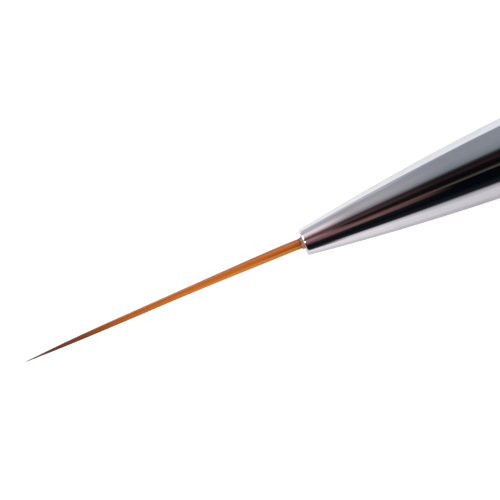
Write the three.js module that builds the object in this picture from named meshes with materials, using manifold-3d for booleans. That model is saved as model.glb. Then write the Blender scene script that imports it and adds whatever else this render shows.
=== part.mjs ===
// Fine detail brush: a long thin liner for miniature painting, lying on a flat of its handle.
//
// Frame, in millimetres: X runs along the brush, from the tip of the tuft at -X to the tail of the handle
// at +X. +Z is up. The origin is on the surface that the brush lies on, under the middle of its length.
// Most pieces are turned about the brush's axis, and `along` is the distance behind the ferrule's mouth.

import * as THREE from 'three';
import { mergeVertices } from 'three/addons/utils/BufferGeometryUtils.js';
import Module from 'manifold-3d';

// ---- Driving dimensions ----

const OVERALL_LENGTH = 174;
const HAIR_OUT = 20;               // free length of the tuft, from the ferrule's mouth to the tip
const HAIR_RADIUS = 0.34;          // radius of the tuft where it leaves the ferrule
const HAIR_WAIST = 0.65;           // share of that radius that the middle of the tuft keeps
const HAIR_BOW = 0.2;              // the tuft's slight sideways curve
const HAIR_DROOP = 0.1;            // how far the tip ends off the axis

const STRAND_RINGS = 3;            // rings of strands round the middle one
const STRAND_SPACING = 1.03;       // centre distance of neighbouring strands, in strand diameters
const STRAND_SIDES = 6;
const STRAND_STATIONS = 8;
const STRAND_END_RADIUS = 0.006;
const RING_STEP_BACK = 0.33;       // how much earlier each outer ring of strands ends

const FERRULE_LENGTH = 34;
const FERRULE_WALL = 0.25;
const FERRULE_RADIUS = 2.95;       // of the straight rear part
const NOSE_RADIUS = 0.91;          // of the curved cone, at the mouth
const NOSE_LENGTH = 27.7;          // the curved cone runs into the straight part here
const LIP_OPENING = 0.48;          // radius of the hole inside the edge that is turned in at the mouth
const LIP_DEPTH = 0.5;
const LIP_ROUND = 0.06;            // on both corners of the turned-in edge
const CRIMPS = [28.8, 31.6];       // pressed rings, along the ferrule
const CRIMP_DEPTH = 0.22;
const CRIMP_HALF_WIDTH = 0.7;

const MOUTH_BEAD_RADIUS = 0.4;     // where it stands in front of the mouth
const MOUTH_BEAD_PROUD = 0.2;      // how far the bead stands in front of the mouth
const MOUTH_BEAD_DEPTH = 0.9;
const MOUTH_BEAD_BEVEL = 0.02;
const BEND_GAP = 0.3;              // between the bead and the strands that bend in front of it

const ROOT_DEPTH = 13;             // how far the bundle reaches into the ferrule
const BUTT_LENGTH = 1.5;           // the bundle widens towards its butt end over this length
const BUTT_FLARE = 0.12;
const BUTT_BEVEL = 0.06;
const RESIN_DEPTH = 15;
const THREAD_RADIUS = 0.1;
const THREAD_TURNS = 6;
const THREAD_START = 9;
const THREAD_PITCH = 0.24;

const TENON_LENGTH = 13;
const TENON_BEVEL = 0.3;
const GLUE_FILM = 0.12;
const GLUE_SET_BACK = 0.5;         // from the tenon's front face
const FIT = 0.04;                  // clearance between nested pieces

const SHOULDER_RADIUS = 3.15;      // of the handle, just behind the ferrule
const SHOULDER_BEVEL = 0.35;
const TAIL_RADIUS = 2.1;
const FLAT_DISTANCE = 3.9;         // from the axis to each of the three flats on the handle

/** The handle's turned outline: distances behind its shoulder, and radii. */
const HANDLE_CURVE = [[0.4, SHOULDER_RADIUS], [12, 3.95], [28, 4.6], [46, 4.25], [72, 3.1]];

const ROUND_SIDES = 32;            // facets round the turned pieces

const TIP_X = -OVERALL_LENGTH / 2;
const MOUTH_X = TIP_X + HAIR_OUT;
const HANDLE_END = OVERALL_LENGTH - HAIR_OUT;
const AXIS_HEIGHT = FLAT_DISTANCE;

// ---- Materials ----

const materials = {
  strand: new THREE.MeshStandardMaterial({ color: 0xbb7033, roughness: 0.35, metalness: 0 }),
  root: new THREE.MeshStandardMaterial({ color: 0x7a4526, roughness: 0.6, metalness: 0 }),
  thread: new THREE.MeshStandardMaterial({ color: 0xd9d2c0, roughness: 0.8, metalness: 0 }),
  resin: new THREE.MeshStandardMaterial({ color: 0xb98d4c, roughness: 0.25, metalness: 0 }),
  bead: new THREE.MeshStandardMaterial({ color: 0x5a3420, roughness: 0.3, metalness: 0 }),
  ferrule: new THREE.MeshStandardMaterial({ color: 0xd6d7da, roughness: 0.05, metalness: 1 }),
  glue: new THREE.MeshStandardMaterial({ color: 0xe8e0c8, roughness: 0.5, metalness: 0 }),
  handle: new THREE.MeshStandardMaterial({ color: 0x5c1a14, roughness: 0.2, metalness: 0 }),
};

// ---- Helpers ----

const wasm = await Module();
wasm.setup();

/** A point of a turned profile: a distance behind the ferrule's mouth, and a radius. */
const at = (along, radius) => new THREE.Vector2(radius, along);

/** Turns a profile about the X axis. Profiles run towards +X on the outside of the piece. */
function turned(profile, sides = ROUND_SIDES) {
  return new THREE.LatheGeometry(profile, sides).rotateZ(-Math.PI / 2);
}

/** Evenly spaced values from first to last, both included. */
function spaced(first, last, count) {
  return Array.from({ length: count }, (_, i) => first + ((last - first) * i) / (count - 1));
}

function toManifold(geometry) {
  const bare = geometry.clone();
  bare.deleteAttribute('normal');
  bare.deleteAttribute('uv');
  const merged = mergeVertices(bare, 1e-4);
  return new wasm.Manifold(new wasm.Mesh({
    numProp: 3,
    vertProperties: new Float32Array(merged.attributes.position.array),
    triVerts: new Uint32Array(merged.index.array),
  }));
}

function toGeometry(solid) {
  const mesh = solid.getMesh();
  const geometry = new THREE.BufferGeometry();
  geometry.setAttribute('position', new THREE.BufferAttribute(mesh.vertProperties, 3));
  geometry.setIndex(new THREE.BufferAttribute(mesh.triVerts, 1));
  return geometry;
}

// ---- Tuft ----

/**
 * Radius of the whole tuft at a distance from its tip. It swells quickly behind the point, holds through
 * the middle and swells again towards the mouth.
 */
function tuftRadius(fromTip) {
  const share = fromTip / HAIR_OUT;
  const behindPoint = 1 - (1 - share) ** 6;
  const towardsMouth = ((1 - Math.cos(Math.PI * share)) / 2) ** 4;
  return HAIR_RADIUS * (HAIR_WAIST * behindPoint + (1 - HAIR_WAIST) * towardsMouth);
}

/** Radius of one strand there, so that the rings of strands just fill the tuft. */
const strandRadius = (fromTip) => (
  Math.max(tuftRadius(fromTip) / (2 * STRAND_RINGS * STRAND_SPACING + 1), STRAND_END_RADIUS)
);

/** How far the tuft's centre line lies off the brush's axis, in +Y. */
function tuftOffset(fromTip) {
  const out = 1 - fromTip / HAIR_OUT;
  return HAIR_BOW * Math.sqrt(out) * (1 - out) - HAIR_DROOP * out;
}

/** One tapered strand, at a place across the tuft counted in strand spacings. */
function strand(across, up, ring) {
  const end = ring * RING_STEP_BACK;
  const start = HAIR_OUT - MOUTH_BEAD_PROUD - BEND_GAP;
  const stations = spaced(Math.sqrt(end), Math.sqrt(start), STRAND_STATIONS).map((s) => s * s);
  const profile = [
    at(-HAIR_OUT + end, 0),
    ...stations.map((fromTip) => at(-HAIR_OUT + fromTip, strandRadius(fromTip))),
    at(-HAIR_OUT + start, 0),
  ];
  const geometry = turned(profile, STRAND_SIDES);
  const position = geometry.attributes.position;
  for (let i = 0; i < position.count; i += 1) {
    const fromTip = position.getX(i) + HAIR_OUT;
    const spacing = 2 * strandRadius(fromTip) * STRAND_SPACING;
    position.setY(i, position.getY(i) + across * spacing + tuftOffset(fromTip));
    position.setZ(i, position.getZ(i) + up * spacing);
  }
  return geometry;
}

/** Places of the strands: one in the middle, with rings of 6, 12 and 18 round it. */
function strandPlaces() {
  const places = [{ across: 0, up: 0, ring: 0 }];
  for (let ring = 1; ring <= STRAND_RINGS; ring += 1) {
    for (let i = 0; i < 6 * ring; i += 1) {
      const angle = (Math.PI * i) / (3 * ring);
      places.push({ across: ring * Math.cos(angle), up: ring * Math.sin(angle), ring });
    }
  }
  return places;
}

// ---- Root of the tuft, inside the ferrule ----

/** The bundle's root, soaked with resin into one mass. Its butt end is slightly flared. */
function rootBundle() {
  return turned([
    at(-MOUTH_BEAD_PROUD, 0),
    at(-MOUTH_BEAD_PROUD, HAIR_RADIUS),
    at(ROOT_DEPTH - BUTT_LENGTH, HAIR_RADIUS),
    at(ROOT_DEPTH - BUTT_BEVEL, HAIR_RADIUS + BUTT_FLARE),
    at(ROOT_DEPTH, HAIR_RADIUS + BUTT_FLARE - BUTT_BEVEL),
    at(ROOT_DEPTH, 0),
  ], 24);
}

class Helix extends THREE.Curve {
  getPoint(t, target = new THREE.Vector3()) {
    const angle = 2 * Math.PI * THREAD_TURNS * t;
    const radius = HAIR_RADIUS + FIT + THREAD_RADIUS;
    return target.set(
      THREAD_START + THREAD_PITCH * THREAD_TURNS * t,
      radius * Math.cos(angle),
      radius * Math.sin(angle),
    );
  }
}

/** The thread wound round the root. */
function bindingThread() {
  const sides = 6;
  const section = new THREE.Shape(spaced(0, 2 * Math.PI, sides + 1).slice(0, sides).map(
    (a) => new THREE.Vector2(THREAD_RADIUS * Math.cos(a), THREAD_RADIUS * Math.sin(a)),
  ));
  return new THREE.ExtrudeGeometry(section, { steps: 16 * THREAD_TURNS, extrudePath: new Helix() });
}

/** Resin that fills the nose round the root and the thread. It is open at the front, round the hair. */
function resinPlug() {
  const start = MOUTH_BEAD_DEPTH + FIT;
  const bore = HAIR_RADIUS + FIT;
  const pocket = bore + 2 * THREAD_RADIUS + 3 * FIT;
  const threadEnd = THREAD_START + THREAD_PITCH * THREAD_TURNS;
  const outside = spaced(start, RESIN_DEPTH, 8).map((along) => at(along, ferruleInner(along) - FIT));
  return turned([
    ...outside,
    at(RESIN_DEPTH, 0),
    at(ROOT_DEPTH + FIT, 0),
    at(ROOT_DEPTH + FIT, bore + BUTT_FLARE + FIT),
    at(threadEnd + 2 * THREAD_RADIUS, pocket),
    at(THREAD_START - 2 * THREAD_RADIUS, pocket),
    at(THREAD_START - 5 * THREAD_RADIUS, bore),
    at(start, bore),
    at(start, ferruleInner(start) - FIT),
  ], 24);
}

/** The resin that fills the mouth round the hair and creeps a little way out along it as a bead. */
function mouthBead() {
  const inner = HAIR_RADIUS + FIT / 2;
  return turned([
    at(-MOUTH_BEAD_PROUD, inner),
    at(-MOUTH_BEAD_PROUD, MOUTH_BEAD_RADIUS - MOUTH_BEAD_BEVEL),
    at(-MOUTH_BEAD_PROUD + MOUTH_BEAD_BEVEL, MOUTH_BEAD_RADIUS),
    at(MOUTH_BEAD_BEVEL, LIP_OPENING - FIT),
    at(MOUTH_BEAD_DEPTH, LIP_OPENING - FIT),
    at(MOUTH_BEAD_DEPTH, inner),
    at(-MOUTH_BEAD_PROUD, inner),
  ], 24);
}

// ---- Ferrule ----

/** How far the crimps press the wall in at a place along the ferrule. */
function crimpDepth(along) {
  const nearest = Math.min(...CRIMPS.map((crimp) => Math.abs(along - crimp)));
  if (nearest >= CRIMP_HALF_WIDTH) return 0;
  return (CRIMP_DEPTH * (1 + Math.cos((Math.PI * nearest) / CRIMP_HALF_WIDTH))) / 2;
}

/** Outer radius: an arc from the mouth that runs tangent into the straight part, less the crimps. */
function ferruleOuter(along) {
  const left = Math.max(1 - along / NOSE_LENGTH, 0);
  return FERRULE_RADIUS - (FERRULE_RADIUS - NOSE_RADIUS) * left * left - crimpDepth(along);
}

const ferruleInner = (along) => ferruleOuter(along) - FERRULE_WALL;

/** Places along the ferrule where its wall changes shape, with some of them on the curved cone. */
function ferruleStations(from, noseCount) {
  const nose = spaced(from, NOSE_LENGTH, noseCount);
  const crimped = CRIMPS.flatMap((crimp) => (
    spaced(crimp - CRIMP_HALF_WIDTH, crimp + CRIMP_HALF_WIDTH, 5)
  ));
  return [...nose, ...crimped, FERRULE_LENGTH];
}

/** The drawn tube: a curved cone with its edge turned in at the mouth, and crimps near the rear. */
function ferrule() {
  const corner = LIP_ROUND * (1 - Math.SQRT1_2);
  const outside = ferruleStations(LIP_ROUND, 9);
  const inside = ferruleStations(LIP_DEPTH, 9).reverse();
  return turned([
    at(LIP_DEPTH, LIP_OPENING),
    at(LIP_ROUND, LIP_OPENING),
    at(0, LIP_OPENING + LIP_ROUND),
    at(0, NOSE_RADIUS - LIP_ROUND),
    at(corner, NOSE_RADIUS - corner),
    ...outside.map((along) => at(along, ferruleOuter(along))),
    ...inside.map((along) => at(along, ferruleInner(along))),
    at(LIP_DEPTH, LIP_OPENING),
  ]);
}

// ---- Handle ----

/** Radius inside which the tenon and its glue fit at a place along the ferrule. */
const tenonRadius = (along) => ferruleInner(along) - GLUE_FILM - 2 * FIT;

/** The film of glue between the tenon and the ferrule. */
function tenonGlue() {
  const stations = ferruleStations(FERRULE_LENGTH - TENON_LENGTH + GLUE_SET_BACK, 3);
  const outer = (along) => ferruleInner(along) - FIT;
  return turned([
    ...stations.map((along) => at(along, outer(along))),
    ...stations.reverse().map((along) => at(along, outer(along) - GLUE_FILM)),
    at(stations.at(-1), outer(stations.at(-1))),
  ]);
}

/** The turned outline of the handle behind the ferrule: shoulder, belly, long taper and round tail. */
function handleOutline() {
  const shoulder = FERRULE_LENGTH + FIT;
  const curve = new THREE.SplineCurve([
    ...HANDLE_CURVE.map(([behind, radius]) => at(shoulder + behind, radius)),
    at(HANDLE_END - TAIL_RADIUS, TAIL_RADIUS),
  ]);
  const tail = spaced(0, Math.PI / 2, 6).slice(1, -1).map((angle) => at(
    HANDLE_END - TAIL_RADIUS * (1 - Math.sin(angle)),
    TAIL_RADIUS * Math.cos(angle),
  ));
  return [
    at(shoulder, SHOULDER_RADIUS - SHOULDER_BEVEL),
    ...curve.getPoints(16),
    ...tail,
    at(HANDLE_END, 0),
  ];
}

/** The wooden handle: turned in one piece with its tenon, with three flats cut on its belly. */
function handle() {
  const front = FERRULE_LENGTH - TENON_LENGTH;
  const tenon = ferruleStations(front + TENON_BEVEL, 3);
  const spindle = turned([
    at(front, 0),
    at(front, tenonRadius(front) - TENON_BEVEL),
    ...tenon.map((along) => at(along, tenonRadius(along))),
    at(FERRULE_LENGTH + FIT, tenonRadius(FERRULE_LENGTH)),
    ...handleOutline(),
  ]);
  const corner = 2 * FLAT_DISTANCE;
  const section = new THREE.Shape([90, 210, 330].map((degrees) => new THREE.Vector2(
    corner * Math.cos(THREE.MathUtils.degToRad(degrees)),
    corner * Math.sin(THREE.MathUtils.degToRad(degrees)),
  )));
  const prism = new THREE.ExtrudeGeometry(section, { depth: OVERALL_LENGTH, bevelEnabled: false });
  prism.rotateX(Math.PI / 2).rotateZ(Math.PI / 2);
  return toGeometry(toManifold(spindle).intersect(toManifold(prism)));
}

// ---- Assembly ----

const brush = new THREE.Group();
brush.position.set(MOUTH_X, 0, AXIS_HEIGHT);

function add(name, geometry, material) {
  const mesh = new THREE.Mesh(geometry, material);
  mesh.name = name;
  brush.add(mesh);
}

strandPlaces().forEach(({ across, up, ring }, i) => {
  add(`strand_${String(i + 1).padStart(2, '0')}`, strand(across, up, ring), materials.strand);
});
add('root_bundle', rootBundle(), materials.root);
add('binding_thread', bindingThread(), materials.thread);
add('resin_plug', resinPlug(), materials.resin);
add('mouth_bead', mouthBead(), materials.bead);
add('ferrule', ferrule(), materials.ferrule);
add('tenon_glue', tenonGlue(), materials.glue);
add('handle', handle(), materials.handle);

export default brush;
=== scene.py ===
"""Looks of the fine detail brush.

A long two-tone tuft, a mirror-polished ferrule and a lacquered wooden handle.

Lengths are in millimetres and are turned into metres where a mesh is made. `along` is the distance behind
the ferrule's mouth, and `from_tip` the distance behind the point of the tuft. The brush lies along X with its
tip at -X. Its turned pieces share one axis, which runs through the middle of the ferrule.
"""

import math
import random

import bpy
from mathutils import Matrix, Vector, noise


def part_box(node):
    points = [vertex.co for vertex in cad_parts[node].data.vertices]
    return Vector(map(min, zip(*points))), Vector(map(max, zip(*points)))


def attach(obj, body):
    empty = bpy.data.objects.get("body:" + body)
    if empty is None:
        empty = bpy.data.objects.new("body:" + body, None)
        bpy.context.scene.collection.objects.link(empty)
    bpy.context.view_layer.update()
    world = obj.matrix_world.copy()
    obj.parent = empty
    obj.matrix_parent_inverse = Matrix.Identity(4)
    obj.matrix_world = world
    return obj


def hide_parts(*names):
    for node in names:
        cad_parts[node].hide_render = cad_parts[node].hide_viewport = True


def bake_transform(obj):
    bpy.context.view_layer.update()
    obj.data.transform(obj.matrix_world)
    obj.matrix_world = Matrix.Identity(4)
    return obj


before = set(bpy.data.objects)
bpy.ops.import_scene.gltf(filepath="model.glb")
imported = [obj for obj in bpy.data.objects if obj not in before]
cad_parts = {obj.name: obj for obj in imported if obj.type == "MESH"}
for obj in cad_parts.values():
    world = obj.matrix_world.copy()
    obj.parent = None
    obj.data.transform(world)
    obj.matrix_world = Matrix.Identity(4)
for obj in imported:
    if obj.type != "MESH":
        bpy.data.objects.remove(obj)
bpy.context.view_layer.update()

# ---- The frame, in millimetres ----

MM = 0.001
strand_names = [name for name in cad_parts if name.startswith("strand_")]
ferrule_low, ferrule_high = (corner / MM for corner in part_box("ferrule"))
handle_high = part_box("handle")[1] / MM
bead_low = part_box("mouth_bead")[0] / MM

MOUTH_X = ferrule_low.x
TIP_X = min(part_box(name)[0].x for name in strand_names) / MM
AXIS_Z = (ferrule_low.z + ferrule_high.z) / 2
FERRULE_LENGTH = ferrule_high.x - ferrule_low.x
FERRULE_RADIUS = (ferrule_high.y - ferrule_low.y) / 2
HANDLE_END = handle_high.x - MOUTH_X
BEAD_PROUD = MOUTH_X - bead_low.x
HAIR_OUT = MOUTH_X - TIP_X

# ---- Tuft ----

HAIR_RADIUS = 0.34  # at the mouth
HAIR_WAIST = 0.65  # radius of the tuft's middle, as a share of that at the mouth
HAIR_BOW = 0.20  # the tuft bows towards +Y by at most 0.38 of this
HAIR_DROOP = 0.1  # how far its point lies towards -Y
ROOT_IN_BEAD = 0.03

TUFT_SEED = 11
FILAMENT_SIDES = 8
FILAMENT_STATIONS = 64
FILAMENT_RINGS = 5  # round the one in the middle
FILAMENT_SCATTER = 0.16  # how far a filament may lie off its place, as a share of their spacing
FILAMENT_TAPER = 1.5  # length over which a filament thins to its end
FILAMENT_THINNEST = 0.012
POINT_FULLNESS = 0.012  # extra radius at the point, lost over the first millimetre
RAGGED_END = 0.5  # how far behind the point the shortest filament may end
FILAMENT_THICKNESS = (0.92, 1.08)  # as a share of the filaments' spacing
SWAY = (0.1, 0.32)  # how far a filament wanders sideways, as a share of their spacing
WAVES = (0.7, 1.7)  # how many times it does so along the hair
TONE_SPREAD = 0.25  # how much lighter or darker than its lock a filament may be

PARTING_LIE = 0.64  # where the painted shade of the parting lies across the tuft, from 0 at +Y to 1 at -Y
PARTING_WIDTH = 0.07
PARTING_START = 16.5  # where it starts, behind the point

# ---- Mouth and ferrule ----

BEAD_RADIUS = 0.40
BEAD_DEPTH = 0.8
BEAD_ROUND = 0.04
BEAD_UNEVEN = 0.014
BEAD_INTO_HAIR = 0.015
BEAD_CLEARANCE = 0.01  # between the bead and the lip
NOSE_RADIUS = 0.91  # at the mouth
NOSE_LENGTH = 27.7  # where the nose's curve runs out
LIP_OPENING = 0.48
LIP_DEPTH = 0.5
LIP_ROUND = 0.06
WALL = 0.25
CRIMPS = (28.8, 31.6)
CRIMP_DEPTH = 0.22
CRIMP_HALF_WIDTH = 0.7
REAR_ROUND = 0.08

# ---- Handle ----

SHOULDER_RADIUS = 3.15
SHOULDER_GAP = 0.04  # between the ferrule's rear edge and the shoulder
SHOULDER_ROUND = 0.5
SHOULDER_RING = 1.2  # radius of one more ring of points on the shoulder's flat face
HANDLE_CURVE = (  # distance behind the ferrule, radius
    (0.4, SHOULDER_RADIUS), (12, 3.95), (28, 4.6), (46, 4.25), (72, 3.1),
)
TAIL_RADIUS = 2.1
FLAT_DISTANCE = AXIS_Z  # the brush rests on one of its flats
FLAT_SOFTENING = 0.05
DIP_LENGTH = 15
DIP_THICKNESS = 0.04
DIP_BEAD = 0.03  # the fat edge that the lacquer leaves where the dip ends
DIP_BEAD_AT = 0.5  # behind that end
DIP_BEAD_WIDTH = 0.35

scene = bpy.context.scene


# ---- Meshes ----

def smooth_mesh(name, vertices, faces):
    """A smooth-shaded object from points in millimetres."""
    mesh = bpy.data.meshes.new(name)
    mesh.from_pydata([(x * MM, y * MM, z * MM) for x, y, z in vertices], [], faces)
    mesh.validate()
    mesh.shade_smooth()
    made = bpy.data.objects.new(name, mesh)
    scene.collection.objects.link(made)
    return made


def turned(name, profile, sides, closed=False, radius_at=None):
    """A piece turned about the brush's axis. The profile lists (along, radius) towards +X on the outside.

    A radius of 0 is a pole. A closed profile joins its last point to its first. The function
    radius_at(along, radius, angle) may change the radius round the piece, where angle 0 is straight down.
    """
    vertices, faces, rings = [], [], []
    for along, radius in profile:
        count = 1 if radius == 0 else sides
        rings.append(range(len(vertices), len(vertices) + count))
        for i in range(count):
            angle = 2 * math.pi * i / sides
            r = radius_at(along, radius, angle) if radius_at and radius else radius
            vertices.append((MOUTH_X + along, r * math.sin(angle), AXIS_Z - r * math.cos(angle)))
    pairs = list(zip(rings, rings[1:]))
    if closed:
        pairs.append((rings[-1], rings[0]))
    for a, b in pairs:
        for i in range(sides):
            j = (i + 1) % sides
            if len(a) == 1:
                faces.append((a[0], b[j], b[i]))
            elif len(b) == 1:
                faces.append((a[i], a[j], b[0]))
            else:
                faces.append((a[i], a[j], b[j], b[i]))
    return smooth_mesh(name, vertices, faces)


def spaced(first, last, count):
    return [first + (last - first) * i / (count - 1) for i in range(count)]


def quarter_turn(count):
    return spaced(0, math.pi / 2, count)


def smoothstep(low, high, value):
    t = min(max((value - low) / (high - low), 0), 1)
    return t * t * (3 - 2 * t)


# ---- Tuft ----

def tuft_radius(from_tip):
    """Swells quickly behind the point, holds through the middle and swells again towards the mouth."""
    share = min(max(from_tip / HAIR_OUT, 0), 1)
    behind_point = 1 - (1 - share) ** 6
    towards_mouth = ((1 - math.cos(math.pi * share)) / 2) ** 4
    return HAIR_RADIUS * (HAIR_WAIST * behind_point + (1 - HAIR_WAIST) * towards_mouth)


def tuft_offset(from_tip):
    """How far the tuft's centre line lies off the axis, in +Y."""
    out = 1 - from_tip / HAIR_OUT
    return HAIR_BOW * math.sqrt(max(out, 0)) * (1 - out) - HAIR_DROOP * out


def ring_places(rings):
    """Places across the tuft, in units of the filaments' spacing: one in the middle and rings round it."""
    places = [(0, 0)]
    for ring in range(1, rings + 1):
        for i in range(6 * ring):
            angle = math.pi * i / (3 * ring)
            places.append((ring * math.cos(angle), ring * math.sin(angle)))
    return places


def filaments():
    """The tuft as separate tapered filaments, each a closed body.

    Each point knows how far it is from the tip, on which side of the tuft it lies (0 is +Y, 1 is -Y) and how
    light its filament is there. Locks of filaments share their lightness, and painted shade darkens a parting
    that runs into the mouth.
    """
    rng = random.Random(TUFT_SEED)
    sides, stations = FILAMENT_SIDES, FILAMENT_STATIONS
    root = HAIR_OUT - BEAD_PROUD + ROOT_IN_BEAD
    vertices, faces, from_tips, tones_and_parting_shade, lies = [], [], [], [], []
    for place, (across, up) in enumerate(ring_places(FILAMENT_RINGS)):
        across += rng.uniform(-FILAMENT_SCATTER, FILAMENT_SCATTER)
        up += rng.uniform(-FILAMENT_SCATTER, FILAMENT_SCATTER)
        end = rng.random() ** 2.5 * RAGGED_END if place else 0
        own_tone = rng.uniform(-TONE_SPREAD, TONE_SPREAD)
        sway, phase = rng.uniform(*SWAY), rng.uniform(0, 2 * math.pi)
        waves = rng.uniform(*WAVES)
        thick = rng.uniform(*FILAMENT_THICKNESS)
        lie = min(max(0.5 - across / (2 * FILAMENT_RINGS), 0), 1)
        parting = math.exp(-((lie - PARTING_LIE) / PARTING_WIDTH) ** 2)
        base = len(vertices)
        for k in range(stations):
            t = end + (root - end) * (k / (stations - 1)) ** 1.6
            spacing = 2 * tuft_radius(t) / (2 * FILAMENT_RINGS + 1)
            taper = min(math.sqrt((t - end) / FILAMENT_TAPER), 1)
            thinnest = FILAMENT_THINNEST + POINT_FULLNESS * max(1 - t, 0)
            radius = max(spacing / 2 * taper * thick, thinnest)
            wave = math.sin(phase + waves * 2 * math.pi * t / HAIR_OUT)
            lean = sway * wave * math.sin(math.pi * t / HAIR_OUT)
            y = (across + lean) * spacing + tuft_offset(t)
            z = (up + 0.6 * lean) * spacing
            lock = noise.noise(Vector((across * 0.5, up * 0.5, t * 0.09)))
            # painted shade: the parting is darkened, fading in from PARTING_START towards the mouth
            shade = parting * smoothstep(PARTING_START, HAIR_OUT - 1.5, t)
            tone_and_parting_shade = min(max(0.5 + 0.9 * lock + own_tone, 0), 1) - 1.1 * shade
            for i in range(sides):
                angle = 2 * math.pi * i / sides
                vertices.append((
                    TIP_X + t,
                    y + radius * math.sin(angle),
                    AXIS_Z + z - radius * math.cos(angle),
                ))
                from_tips.append(t)
                tones_and_parting_shade.append(tone_and_parting_shade)
                lies.append(lie)
        for k in range(stations - 1):
            a, b = base + k * sides, base + (k + 1) * sides
            for i in range(sides):
                j = (i + 1) % sides
                faces.append((a + i, a + j, b + j, b + i))
        faces.append(tuple(base + i for i in reversed(range(sides))))
        faces.append(tuple(base + (stations - 1) * sides + i for i in range(sides)))
    tuft = smooth_mesh("tuft_filaments", vertices, faces)
    for name, values in (("from_tip", from_tips), ("tone_and_parting_shade", tones_and_parting_shade), ("lie", lies)):
        tuft.data.attributes.new(name, "FLOAT", "POINT").data.foreach_set("value", values)
    return tuft


def mouth_bead():
    """The resin that fills the mouth and creeps out along the hair, with a rounded, slightly uneven rim."""
    inside, fill = HAIR_RADIUS - BEAD_INTO_HAIR, LIP_OPENING - BEAD_CLEARANCE
    rim = [
        (-BEAD_PROUD + BEAD_ROUND * (1 - math.sin(a)), BEAD_RADIUS - BEAD_ROUND * (1 - math.cos(a)))
        for a in spaced(math.pi / 2, 0, 8)
    ]
    profile = [(-BEAD_PROUD + 0.01, inside), *rim, (0.0, BEAD_RADIUS + 0.01), (0.03, fill)]
    profile += [(BEAD_DEPTH, fill), (BEAD_DEPTH, inside)]

    def uneven(along, radius, angle):
        fade = smoothstep(0.05, -BEAD_PROUD, along) * smoothstep(inside, BEAD_RADIUS, radius)
        return radius + BEAD_UNEVEN * fade * (math.sin(5 * angle + 1) + 0.6 * math.sin(11 * angle))

    return turned("mouth_bead_rim", profile, 96, closed=True, radius_at=uneven)


# ---- Ferrule ----

def crimp_depth(along):
    nearest = min(abs(along - crimp) for crimp in CRIMPS)
    if nearest >= CRIMP_HALF_WIDTH:
        return 0
    return CRIMP_DEPTH * (1 + math.cos(math.pi * nearest / CRIMP_HALF_WIDTH)) / 2


def ferrule_outer(along):
    left = max(1 - along / NOSE_LENGTH, 0)
    return FERRULE_RADIUS - (FERRULE_RADIUS - NOSE_RADIUS) * left ** 2 - crimp_depth(along)


def ferrule_shell():
    """The drawn tube with its edge turned in at the mouth, its crimps and a small round on its rear edge."""
    inner_round = [
        (LIP_ROUND * (1 - math.sin(a)), LIP_OPENING + LIP_ROUND * (1 - math.cos(a)))
        for a in quarter_turn(12)
    ]
    outer_round = [
        (LIP_ROUND * (1 - math.cos(a)), NOSE_RADIUS - LIP_ROUND * (1 - math.sin(a)))
        for a in quarter_turn(12)
    ]
    lip = [(LIP_DEPTH, LIP_OPENING), *inner_round, *outer_round]
    nose = [LIP_ROUND * 1.15, LIP_ROUND * 1.6, *spaced(2.5 * LIP_ROUND, NOSE_LENGTH, 70)]
    rear = spaced(NOSE_LENGTH, FERRULE_LENGTH - REAR_ROUND, 90)[1:]
    outer = [(along, ferrule_outer(along)) for along in nose + rear]
    edge = [
        (FERRULE_LENGTH - REAR_ROUND * (1 - math.sin(a)), FERRULE_RADIUS - REAR_ROUND * (1 - math.cos(a)))
        for a in quarter_turn(6)
    ][1:]
    inside = [LIP_DEPTH, *(along for along in nose + rear if along > LIP_DEPTH)]
    inner = [(along, ferrule_outer(along) - WALL) for along in reversed(inside)]
    return turned("ferrule_shell", lip + outer + edge + inner, 224, closed=True)


# ---- Handle ----

def handle_radius(along):
    """The turned outline behind the shoulder: a smooth curve through the belly and down to the tail."""
    points = [(FERRULE_LENGTH + behind, radius) for behind, radius in HANDLE_CURVE]
    points.append((HANDLE_END - TAIL_RADIUS, TAIL_RADIUS))
    along = min(max(along, points[0][0]), points[-1][0])
    k = max(i for i in range(len(points) - 1) if points[i][0] <= along)
    before, after = max(k - 1, 0), min(k + 2, len(points) - 1)
    (x0, r0), (x1, r1) = points[k], points[k + 1]
    slope0 = (r1 - points[before][1]) / (x1 - points[before][0])
    slope1 = (points[after][1] - r0) / (points[after][0] - x0)
    t, w = (along - x0) / (x1 - x0), x1 - x0
    return (
        (2 * t ** 3 - 3 * t ** 2 + 1) * r0 + (t ** 3 - 2 * t ** 2 + t) * w * slope0
        + (3 * t ** 2 - 2 * t ** 3) * r1 + (t ** 3 - t ** 2) * w * slope1
    )


def flatted(along, radius, angle):
    """Radius of the handle where its three flats cut it, with a softened edge between flat and round."""
    nearest = min(
        abs((angle - k * 2 * math.pi / 3 + math.pi) % (2 * math.pi) - math.pi) for k in range(3)
    )
    flat = FLAT_DISTANCE / math.cos(min(nearest, math.pi / 3))
    if flat > radius + FLAT_SOFTENING:
        return radius
    if radius > flat + FLAT_SOFTENING:
        return flat
    share = (radius - flat + FLAT_SOFTENING) / (2 * FLAT_SOFTENING)
    return radius - FLAT_SOFTENING * share ** 2


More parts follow.
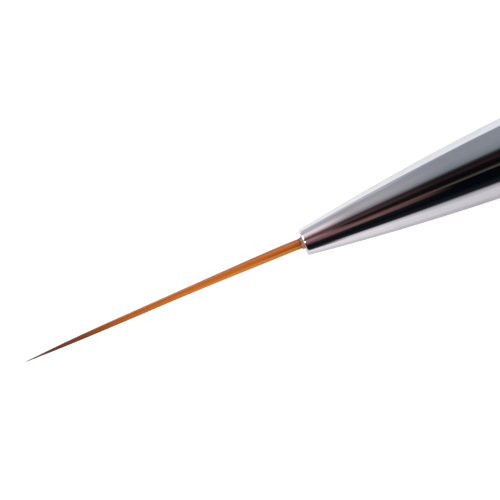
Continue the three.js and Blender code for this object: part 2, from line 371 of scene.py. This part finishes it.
def handle_body():
    """The visible wood: a shoulder, the belly with its flats, and a tail dipped in lacquer."""
    shoulder = FERRULE_LENGTH + SHOULDER_GAP
    tail = HANDLE_END - TAIL_RADIUS
    dip_start = HANDLE_END - DIP_LENGTH

    def dipped(along):
        bulge = DIP_BEAD * math.exp(-((along - dip_start - DIP_BEAD_AT) / DIP_BEAD_WIDTH) ** 2)
        return DIP_THICKNESS * smoothstep(dip_start - 0.05, dip_start + 0.25, along) + bulge

    round_in = [
        (shoulder + SHOULDER_ROUND * (1 - math.cos(a)), SHOULDER_RADIUS - SHOULDER_ROUND * (1 - math.sin(a)))
        for a in quarter_turn(8)
    ][:-1]
    body = [
        (along, handle_radius(along) + dipped(along))
        for along in spaced(shoulder + SHOULDER_ROUND, tail, 260)
    ]
    end_radius = TAIL_RADIUS + DIP_THICKNESS
    cap = [
        (tail + TAIL_RADIUS * math.sin(a), end_radius * math.cos(a))
        for a in quarter_turn(20)
    ][1:-1]
    profile = [(shoulder, 0), (shoulder, SHOULDER_RING), *round_in, *body, *cap, (HANDLE_END, 0)]
    return turned("handle_body", profile, 192, radius_at=flatted)


# ---- Nodes ----

class Nodes:
    """Adds nodes to a tree and links them. A value may be a number, a colour or another node's socket."""

    def __init__(self, tree):
        self.tree = tree

    def add(self, kind, **values):
        node = self.tree.nodes.new(kind)
        for key, value in values.items():
            setattr(node, key, value)
        return node

    def link(self, source, target):
        self.tree.links.new(source, target)

    def split(self, vector):
        node = self.add("ShaderNodeSeparateXYZ")
        self.link(vector, node.inputs[0])
        return node.outputs

    def math(self, operation, *values, clamp=False):
        node = self.add("ShaderNodeMath", operation=operation, use_clamp=clamp)
        for socket, value in zip(node.inputs, values):
            if isinstance(value, bpy.types.NodeSocket):
                self.link(value, socket)
            else:
                socket.default_value = value
        return node.outputs[0]

    def share(self, value, low, high):
        """0 where value is low, 1 where it is high, and held at the ends."""
        node = self.add("ShaderNodeMapRange")
        node.inputs["From Min"].default_value = low
        node.inputs["From Max"].default_value = high
        self.link(value, node.inputs["Value"])
        return node.outputs[0]

    def ramp(self, factor, stops):
        node = self.add("ShaderNodeValToRGB")
        elements = node.color_ramp.elements
        while len(elements) < len(stops):
            elements.new(0.5)
        for element, (position, colour) in zip(elements, stops):
            element.position = position
            element.color = (*colour, 1)
        self.link(factor, node.inputs[0])
        return node.outputs[0]

    def mix(self, factor, a, b, blend_type="MIX"):
        node = self.add("ShaderNodeMix", data_type="RGBA", blend_type=blend_type)
        for socket, value in ((node.inputs[0], factor), (node.inputs[6], a), (node.inputs[7], b)):
            if isinstance(value, bpy.types.NodeSocket):
                self.link(value, socket)
            else:
                socket.default_value = value if isinstance(value, float) else (*value, 1)
        return node.outputs[2]


class Surface(Nodes):
    """A new material with one Principled shader, and what its nodes need."""

    def __init__(self, name):
        self.material = bpy.data.materials.new(name)
        self.material.use_nodes = True
        super().__init__(self.material.node_tree)
        self.shader = self.tree.nodes["Principled BSDF"]

    def set(self, **values):
        for key, value in values.items():
            self.shader.inputs[key.replace("_", " ")].default_value = value

    def feed(self, name, source):
        self.link(source, self.shader.inputs[name])

    def attribute(self, name):
        return self.add("ShaderNodeAttribute", attribute_name=name).outputs["Fac"]

    def position(self, scale=(1, 1, 1), middle=False):
        """Object coordinates in millimetres times scale, measured from the brush's axis if middle is true."""
        shift = self.add("ShaderNodeMapping", vector_type="POINT")
        shift.inputs["Location"].default_value = (0, 0, -AXIS_Z * scale[2] if middle else 0)
        shift.inputs["Scale"].default_value = tuple(s / MM for s in scale)
        self.link(self.add("ShaderNodeTexCoord").outputs["Object"], shift.inputs["Vector"])
        return shift.outputs["Vector"]

    def noise(self, vector, detail=2.0, roughness=0.5, scale=1.0):
        node = self.add("ShaderNodeTexNoise")
        node.inputs["Scale"].default_value = scale
        node.inputs["Detail"].default_value = detail
        node.inputs["Roughness"].default_value = roughness
        self.link(vector, node.inputs["Vector"])
        return node.outputs["Fac"]

    def uneven_roughness(self, pattern, spread, least):
        self.feed("Roughness", self.math("ADD", self.math("MULTIPLY", pattern, spread), least))

    def bump(self, height, distance, strength):
        node = self.add("ShaderNodeBump")
        node.inputs["Distance"].default_value = distance * MM
        node.inputs["Strength"].default_value = strength
        self.link(height, node.inputs["Height"])
        self.feed("Normal", node.outputs["Normal"])


# ---- Materials ----

def filament_material():
    """Dyed synthetic filament: amber, turning dark red-brown over the last quarter towards the point.

    Painted light: the +Y side of the tuft is greyer and duskier, as a painted sheen, the -Y side yellower, as
    painted light shining through, and the parting a dark, saturated orange, as painted shade.
    """
    n = Surface("filament")
    share = n.math("DIVIDE", n.attribute("from_tip"), HAIR_OUT, clamp=True)
    wander = n.noise(n.position((0.5, 6, 6)))
    edge = n.math("ADD", share, n.math("MULTIPLY", n.math("SUBTRACT", wander, 0.5), 0.08))
    dye_and_painted_light = n.ramp(edge, (
        (0.00, (0.175, 0.075, 0.068)),
        (0.06, (0.150, 0.050, 0.042)),
        (0.12, (0.165, 0.042, 0.026)),
        (0.18, (0.225, 0.055, 0.018)),
        (0.28, (0.360, 0.080, 0.012)),
        (0.40, (0.560, 0.128, 0.008)),
        (0.62, (0.650, 0.162, 0.006)),
        (0.95, (0.640, 0.162, 0.005)),
        (0.99, (0.480, 0.160, 0.040)),
    ))
    lie = n.attribute("lie")
    # painted light, behind the dark point only: a grey sheen on the +Y side and yellow light shining through
    # on the -Y side
    painted_light_reach = n.math("MULTIPLY", n.math("SUBTRACT", share, 0.2), 4.0, clamp=True)
    painted_sheen = n.math("MULTIPLY", n.ramp(lie, ((0.12, (1, 1, 1)), (0.42, (0, 0, 0)))), painted_light_reach)
    painted_light_through = n.math("MULTIPLY", n.ramp(lie, ((0.55, (0, 0, 0)), (0.9, (1, 1, 1)))), painted_light_reach)
    dye_and_painted_light = n.mix(painted_sheen, dye_and_painted_light, (0.64, 0.21, 0.070))
    dye_and_painted_light = n.mix(painted_light_through, dye_and_painted_light, (0.58, 0.205, 0.028))
    tone_and_parting_shade = n.attribute("tone_and_parting_shade")
    # painted shade: where the parting pulls the value below 0, the colour goes to a dark, saturated orange
    painted_parting_shade = n.math("MULTIPLY", tone_and_parting_shade, -1.2, clamp=True)
    dye_and_painted_light = n.mix(painted_parting_shade, dye_and_painted_light, (0.47, 0.085, 0.002))
    lightness = n.math("ADD", n.math("MULTIPLY", n.math("MAXIMUM", tone_and_parting_shade, 0.0), 0.5), 0.76)
    tinted = n.add("ShaderNodeVectorMath", operation="SCALE")
    n.link(dye_and_painted_light, tinted.inputs[0])
    n.link(lightness, tinted.inputs["Scale"])
    n.feed("Base Color", tinted.outputs[0])
    n.uneven_roughness(n.noise(n.position((2, 40, 40)), detail=3), 0.2, 0.24)
    n.set(Specular_IOR_Level=0.38)
    return n.material


def mirror_material():
    """Mirror-polished plate with the faint lengthwise lines that drawing leaves."""
    n = Surface("polished_plate")
    n.set(Metallic=1.0)
    place = n.split(n.position(middle=True))
    turn = n.math("ARCTAN2", place["Y"], place["Z"])
    lines_at = n.add("ShaderNodeCombineXYZ")
    n.link(n.math("MULTIPLY", place["X"], 0.03), lines_at.inputs[0])
    n.link(n.math("MULTIPLY", n.math("SINE", turn), 9.0), lines_at.inputs[1])
    n.link(n.math("MULTIPLY", n.math("COSINE", turn), 9.0), lines_at.inputs[2])
    lines = n.noise(lines_at.outputs[0], detail=5, roughness=0.62, scale=1.6)
    haze = n.noise(n.position((0.6, 0.6, 0.6)), detail=4)
    n.feed("Base Color", n.ramp(haze, ((0.3, (0.80, 0.80, 0.83)), (0.7, (0.84, 0.84, 0.86)))))
    n.uneven_roughness(haze, 0.014, 0.006)
    n.bump(lines, 0.004, 0.55)
    return n.material


def handle_material():
    """Stained hardwood under clear gloss lacquer, with a cream dip at the tail."""
    n = Surface("lacquered_wood")
    place = n.split(n.position(middle=True))
    grain = n.noise(n.position((0.06, 1.1, 1.1), middle=True), detail=6, roughness=0.62)
    pores = n.noise(n.position((0.35, 14, 14), middle=True), detail=2)
    stain = n.ramp(grain, (
        (0.30, (0.030, 0.0045, 0.0035)),
        (0.48, (0.105, 0.012, 0.008)),
        (0.60, (0.170, 0.022, 0.012)),
        (0.74, (0.240, 0.040, 0.018)),
    ))
    pore_dark = n.ramp(pores, ((0.34, (0.35, 0.35, 0.35)), (0.44, (1, 1, 1))))
    wood = n.mix(1.0, stain, pore_dark, "MULTIPLY")
    dip_start = MOUTH_X + HANDLE_END - DIP_LENGTH
    dipped = n.math("GREATER_THAN", place["X"], dip_start)
    cream = n.ramp(
        n.noise(n.position((0.5, 0.5, 0.5)), detail=3),
        ((0.3, (0.70, 0.60, 0.42)), (0.7, (0.76, 0.67, 0.50))),
    )
    n.feed("Base Color", n.mix(dipped, wood, cream))
    orange_peel = n.noise(n.position((0.5, 0.8, 0.8)), detail=2)
    n.uneven_roughness(orange_peel, 0.08, 0.10)
    n.set(Coat_Weight=0.7, Coat_Roughness=0.04)
    n.bump(orange_peel, 0.012, 0.5)
    return n.material


def resin_material(name, low, high, roughness, grains=1.8):
    """Set resin or glue: slightly uneven in colour and surface, with so many grains to the millimetre."""
    n = Surface(name)
    cloud = n.noise(n.position((grains, grains, grains)), detail=4)
    n.feed("Base Color", n.ramp(cloud, ((0.36, low), (0.64, high))))
    n.uneven_roughness(cloud, 0.12, roughness)
    n.bump(cloud, 0.03, 0.6)
    return n.material


def thread_material():
    """Twisted thread, with its plies running across it."""
    n = Surface("binding_thread")
    plies = n.noise(n.position((18, 6, 6)), detail=3)
    n.feed("Base Color", n.ramp(plies, ((0.35, (0.42, 0.38, 0.30)), (0.65, (0.74, 0.70, 0.60)))))
    n.set(Roughness=0.85)
    n.bump(plies, 0.02, 0.8)
    return n.material


# ---- Studio ----

def studio_world():
    """A plain studio as a mirror sees it.

    It is dark overhead with a faint warm glow in it, with a grey wall on the +Y side and a pale room low on
    the -Y side. Each list of bands runs round the brush's axis, in degrees: 0 is straight up, 90 is level
    towards -Y and -90 level towards +Y. The four lists are mixed by how far the mirrored direction leans
    towards the tip. Only mirror reflections see them. All other rays, the camera's too, see an even white.
    """
    world = bpy.data.worlds.new("studio")
    scene.world = world
    world.use_nodes = True
    n = Nodes(world.node_tree)
    n.tree.nodes.clear()

    direction = n.split(n.add("ShaderNodeTexCoord").outputs["Generated"])
    angle = n.math("ARCTAN2", n.math("MULTIPLY", direction["Y"], -1), direction["Z"])
    place = n.share(angle, -math.pi / 2, math.pi / 2)

    def bands(stops):
        return n.ramp(place, [((degrees + 90) / 180, colour) for degrees, colour in stops])

    overhead = bands((
        # grey wall
        (-90, (0.28, 0.30, 0.34)),
        (-59, (0.28, 0.30, 0.34)),
        (-41, (0.23, 0.26, 0.29)),
        (-32, (0.19, 0.20, 0.22)),
        # darkness, with two thin glowing lines
        (-26, (0.03, 0.03, 0.03)),
        (-19, (0.012, 0.006, 0.009)),
        (-9, (0.026, 0.013, 0.016)),
        (-4, (0.004, 0.004, 0.005)),
        (11, (0.003, 0.003, 0.003)),
        (17, (0.09, 0.07, 0.07)),
        (22, (0.002, 0.002, 0.003)),
        (51, (0.001, 0.003, 0.005)),
        (70, (0.016, 0.016, 0.022)),
        # pale room
        (76, (0.36, 0.36, 0.38)),
        (80, (0.50, 0.49, 0.52)),
        (90, (0.62, 0.60, 0.63)),
    ))
    between = bands((
        # grey wall
        (-90, (0.40, 0.40, 0.45)),
        (-72, (0.39, 0.38, 0.42)),
        (-56, (0.47, 0.43, 0.45)),
        (-41, (0.39, 0.37, 0.40)),
        (-32, (0.24, 0.23, 0.25)),
        # warm glow, in two bands
        (-22, (0.05, 0.03, 0.04)),
        (-14, (0.05, 0.03, 0.03)),
        (-7, (0.07, 0.04, 0.045)),
        (-2, (0.010, 0.008, 0.007)),
        (9, (0.015, 0.010, 0.009)),
        (17, (0.21, 0.09, 0.09)),
        (25, (0.20, 0.11, 0.11)),
        # darkness
        (33, (0.010, 0.010, 0.012)),
        (51, (0.002, 0.004, 0.006)),
        (72, (0.016, 0.016, 0.022)),
        # pale room
        (76, (0.38, 0.37, 0.39)),
        (80, (0.66, 0.64, 0.67)),
        (90, (0.78, 0.76, 0.79)),
    ))
    tip_side = bands((
        # pale wall
        (-90, (0.62, 0.61, 0.66)),
        (-84, (0.50, 0.50, 0.54)),
        (-68, (0.50, 0.48, 0.51)),
        (-50, (0.95, 0.84, 0.86)),
        (-38, (0.88, 0.72, 0.74)),
        (-28, (0.40, 0.28, 0.29)),
        # warm glow, brightest straight above
        (-18, (0.16, 0.08, 0.09)),
        (-9, (0.11, 0.04, 0.05)),
        (1, (0.42, 0.22, 0.22)),
        (10, (0.38, 0.20, 0.20)),
        (19, (0.21, 0.11, 0.12)),
        (30, (0.12, 0.07, 0.08)),
        # darkness
        (37, (0.02, 0.012, 0.016)),
        (51, (0.006, 0.005, 0.007)),
        (74, (0.010, 0.012, 0.016)),
        (83, (0.02, 0.02, 0.025)),
        (90, (0.15, 0.15, 0.16)),
    ))
    lamps = bands((
        (-90, (0.51, 0.54, 0.61)),
        (-62, (0.34, 0.38, 0.46)),
        # a broad lamp
        (-56, (5.00, 4.60, 5.00)),
        (-29, (5.00, 4.60, 5.00)),
        (-23, (0.05, 0.03, 0.035)),
        (-6, (0.05, 0.03, 0.035)),
        # a narrow one
        (-2, (5.00, 4.80, 5.00)),
        (11, (5.00, 4.80, 5.00)),
        (16, (0.02, 0.012, 0.015)),
        (76, (0.02, 0.02, 0.025)),
        (82, (0.30, 0.30, 0.30)),
    ))

    # The seams between the lists lie askew: further from the tip at the sides than straight above.
    skew = -0.054 / math.radians(60)
    askew = n.math("MULTIPLY_ADD", n.math("ABSOLUTE", angle), skew, direction["X"])

    def toward_tip(start, end, near, far):
        """Mixes near into far as the mirrored direction leans towards the tip, from start to end.

        0 is upright and -1 points straight towards the tip.
        """
        return n.mix(n.share(askew, start, end), near, far)

    mirrored = toward_tip(-0.03, -0.143, overhead, between)
    mirrored = toward_tip(-0.175, -0.213, mirrored, tip_side)
    mirrored = toward_tip(-0.39, -0.47, mirrored, lamps)

    by_mirrors = n.add("ShaderNodeLightPath").outputs["Is Glossy Ray"]
    background = n.add("ShaderNodeBackground")
    n.link(n.mix(by_mirrors, (1.0, 1.0, 1.0), mirrored), background.inputs["Color"])
    n.link(background.outputs[0], n.add("ShaderNodeOutputWorld").inputs["Surface"])


def softbox(name, place, aim, size, power):
    """A soft light that shades the object but isn't mirrored in it."""
    data = bpy.data.lights.new(name, "AREA")
    data.size = size
    data.energy = power
    light = bpy.data.objects.new(name, data)
    scene.collection.objects.link(light)
    light.location = place
    light.rotation_euler = (Vector(aim) - Vector(place)).to_track_quat("-Z", "Y").to_euler()
    light.visible_glossy = False


def studio_floor():
    """A pale table under the brush, which reads as plain white to the camera where no shadow falls.

    Mirror reflections see painted shade on it: a little darker on the -Y side, more so behind the mouth, and
    shaded next to the brush there. They see it dark far away on the +Y side.
    """
    reach = 4  # metres
    corners = [(-reach, -reach, 0), (reach, -reach, 0), (reach, reach, 0), (-reach, reach, 0)]
    mesh = bpy.data.meshes.new("floor")
    mesh.from_pydata(corners, [], [(0, 1, 2, 3)])
    floor = bpy.data.objects.new("floor", mesh)
    scene.collection.objects.link(floor)

    n = Surface("pale_table")
    n.set(Roughness=0.9, Specular_IOR_Level=0.0, Emission_Color=(1, 1, 1, 1))
    path = n.add("ShaderNodeLightPath").outputs
    place = n.split(n.position())
    width, length = 60, 14  # the stretch where its colour changes: across the brush, and on from the mouth
    across = n.math("ADD", n.math("MULTIPLY", place["Y"], 1 / width), 0.5, clamp=True)
    back = n.math("MULTIPLY", n.math("SUBTRACT", place["X"], MOUTH_X), 1 / length, clamp=True)

    def to(y):
        return 0.5 + y / width

    def rising(start, end):
        return n.ramp(across, ((to(start), (0, 0, 0)), (to(end), (1, 1, 1))))

    # painted shade for mirror reflections: the -Y side darker, more so behind the mouth, and darker still
    # next to the brush
    near = n.mix(back, (0.88, 0.86, 0.88), (0.69, 0.68, 0.70))
    shaded = n.ramp(across, ((to(-9.5), (1, 1, 1)), (to(-6), (0.82, 0.81, 0.84))))
    far = n.mix(back, (1.0, 1.0, 1.0), (0.93, 0.95, 0.98))
    beyond = n.mix(back, (0.56, 0.56, 0.60), (0.28, 0.31, 0.35))
    in_mirrors = n.mix(rising(-1, 1), n.mix(1.0, near, shaded, "MULTIPLY"), far)
    in_mirrors = n.mix(rising(17, 26), in_mirrors, beyond)
    mottle = n.ramp(
        n.noise(n.position((0.25, 0.5, 1)), detail=4),
        ((0.35, (0.965, 0.950, 0.960)), (0.65, (1.02, 1.02, 1.02))),
    )
    in_mirrors = n.mix(1.0, in_mirrors, mottle, "MULTIPLY")
    n.feed("Base Color", n.mix(path["Is Glossy Ray"], (0.8, 0.8, 0.8), in_mirrors))
    n.feed("Emission Strength", n.math("MULTIPLY", path["Is Camera Ray"], 0.45))
    mesh.materials.append(n.material)


def camera():
    """Looks nearly straight down on the tuft and the ferrule's nose, with the point at the lower left."""
    azimuth, elevation = math.radians(-22.99), math.radians(86)
    lens, sensor, view_width = 100, 36, 33.08
    tip_left, tip_down = 14.87, 7.30
    back = Vector((
        math.sin(azimuth) * math.cos(elevation),
        -math.cos(azimuth) * math.cos(elevation),
        math.sin(elevation),
    ))
    right = Vector((math.cos(azimuth), math.sin(azimuth), 0))
    up = back.cross(right)
    aim = Vector((TIP_X, 0, AXIS_Z)) + tip_left * right + tip_down * up
    data = bpy.data.cameras.new("camera")
    data.lens = lens
    data.sensor_width = sensor
    data.clip_start = 0.005
    made = bpy.data.objects.new("camera", data)
    scene.collection.objects.link(made)
    made.location = (aim + back * view_width * lens / sensor) * MM
    made.rotation_euler = (-back).to_track_quat("-Z", "Y").to_euler()
    scene.camera = made


# ---- Build ----

camera()
studio_world()
studio_floor()
softbox("key", place=(-0.20, -0.50, 0.32), aim=(-0.05, 0, 0), size=0.35, power=0.12)
scene.view_settings.view_transform = "Standard"


def dress(piece, material):
    piece.data.materials.clear()
    piece.data.materials.append(material)


def finish_piece(piece, material, slot_name, *nodes):
    dress(piece, material)
    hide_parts(*nodes)


tuft = filaments()
finish_piece(tuft, filament_material(), "strand", *strand_names)
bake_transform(tuft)

bead_look = resin_material("speckled_bead", (0.03, 0.016, 0.012), (0.56, 0.24, 0.07), 0.22, grains=6)
for made, look, slot_name, node in (
    (mouth_bead(), bead_look, "bead", "mouth_bead"),
    (ferrule_shell(), mirror_material(), "ferrule", "ferrule"),
    (handle_body(), handle_material(), "handle", "handle"),
):
    finish_piece(made, look, slot_name, node)
    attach(made, "holder")

for node, look in (
    ("root_bundle", resin_material("soaked_root", (0.10, 0.035, 0.012), (0.26, 0.10, 0.03), 0.45)),
    ("resin_plug", resin_material("amber_resin", (0.30, 0.16, 0.05), (0.52, 0.32, 0.12), 0.18)),
    ("tenon_glue", resin_material("set_glue", (0.62, 0.55, 0.40), (0.80, 0.74, 0.60), 0.45)),
    ("binding_thread", thread_material()),
):
    dress(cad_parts[node], look)
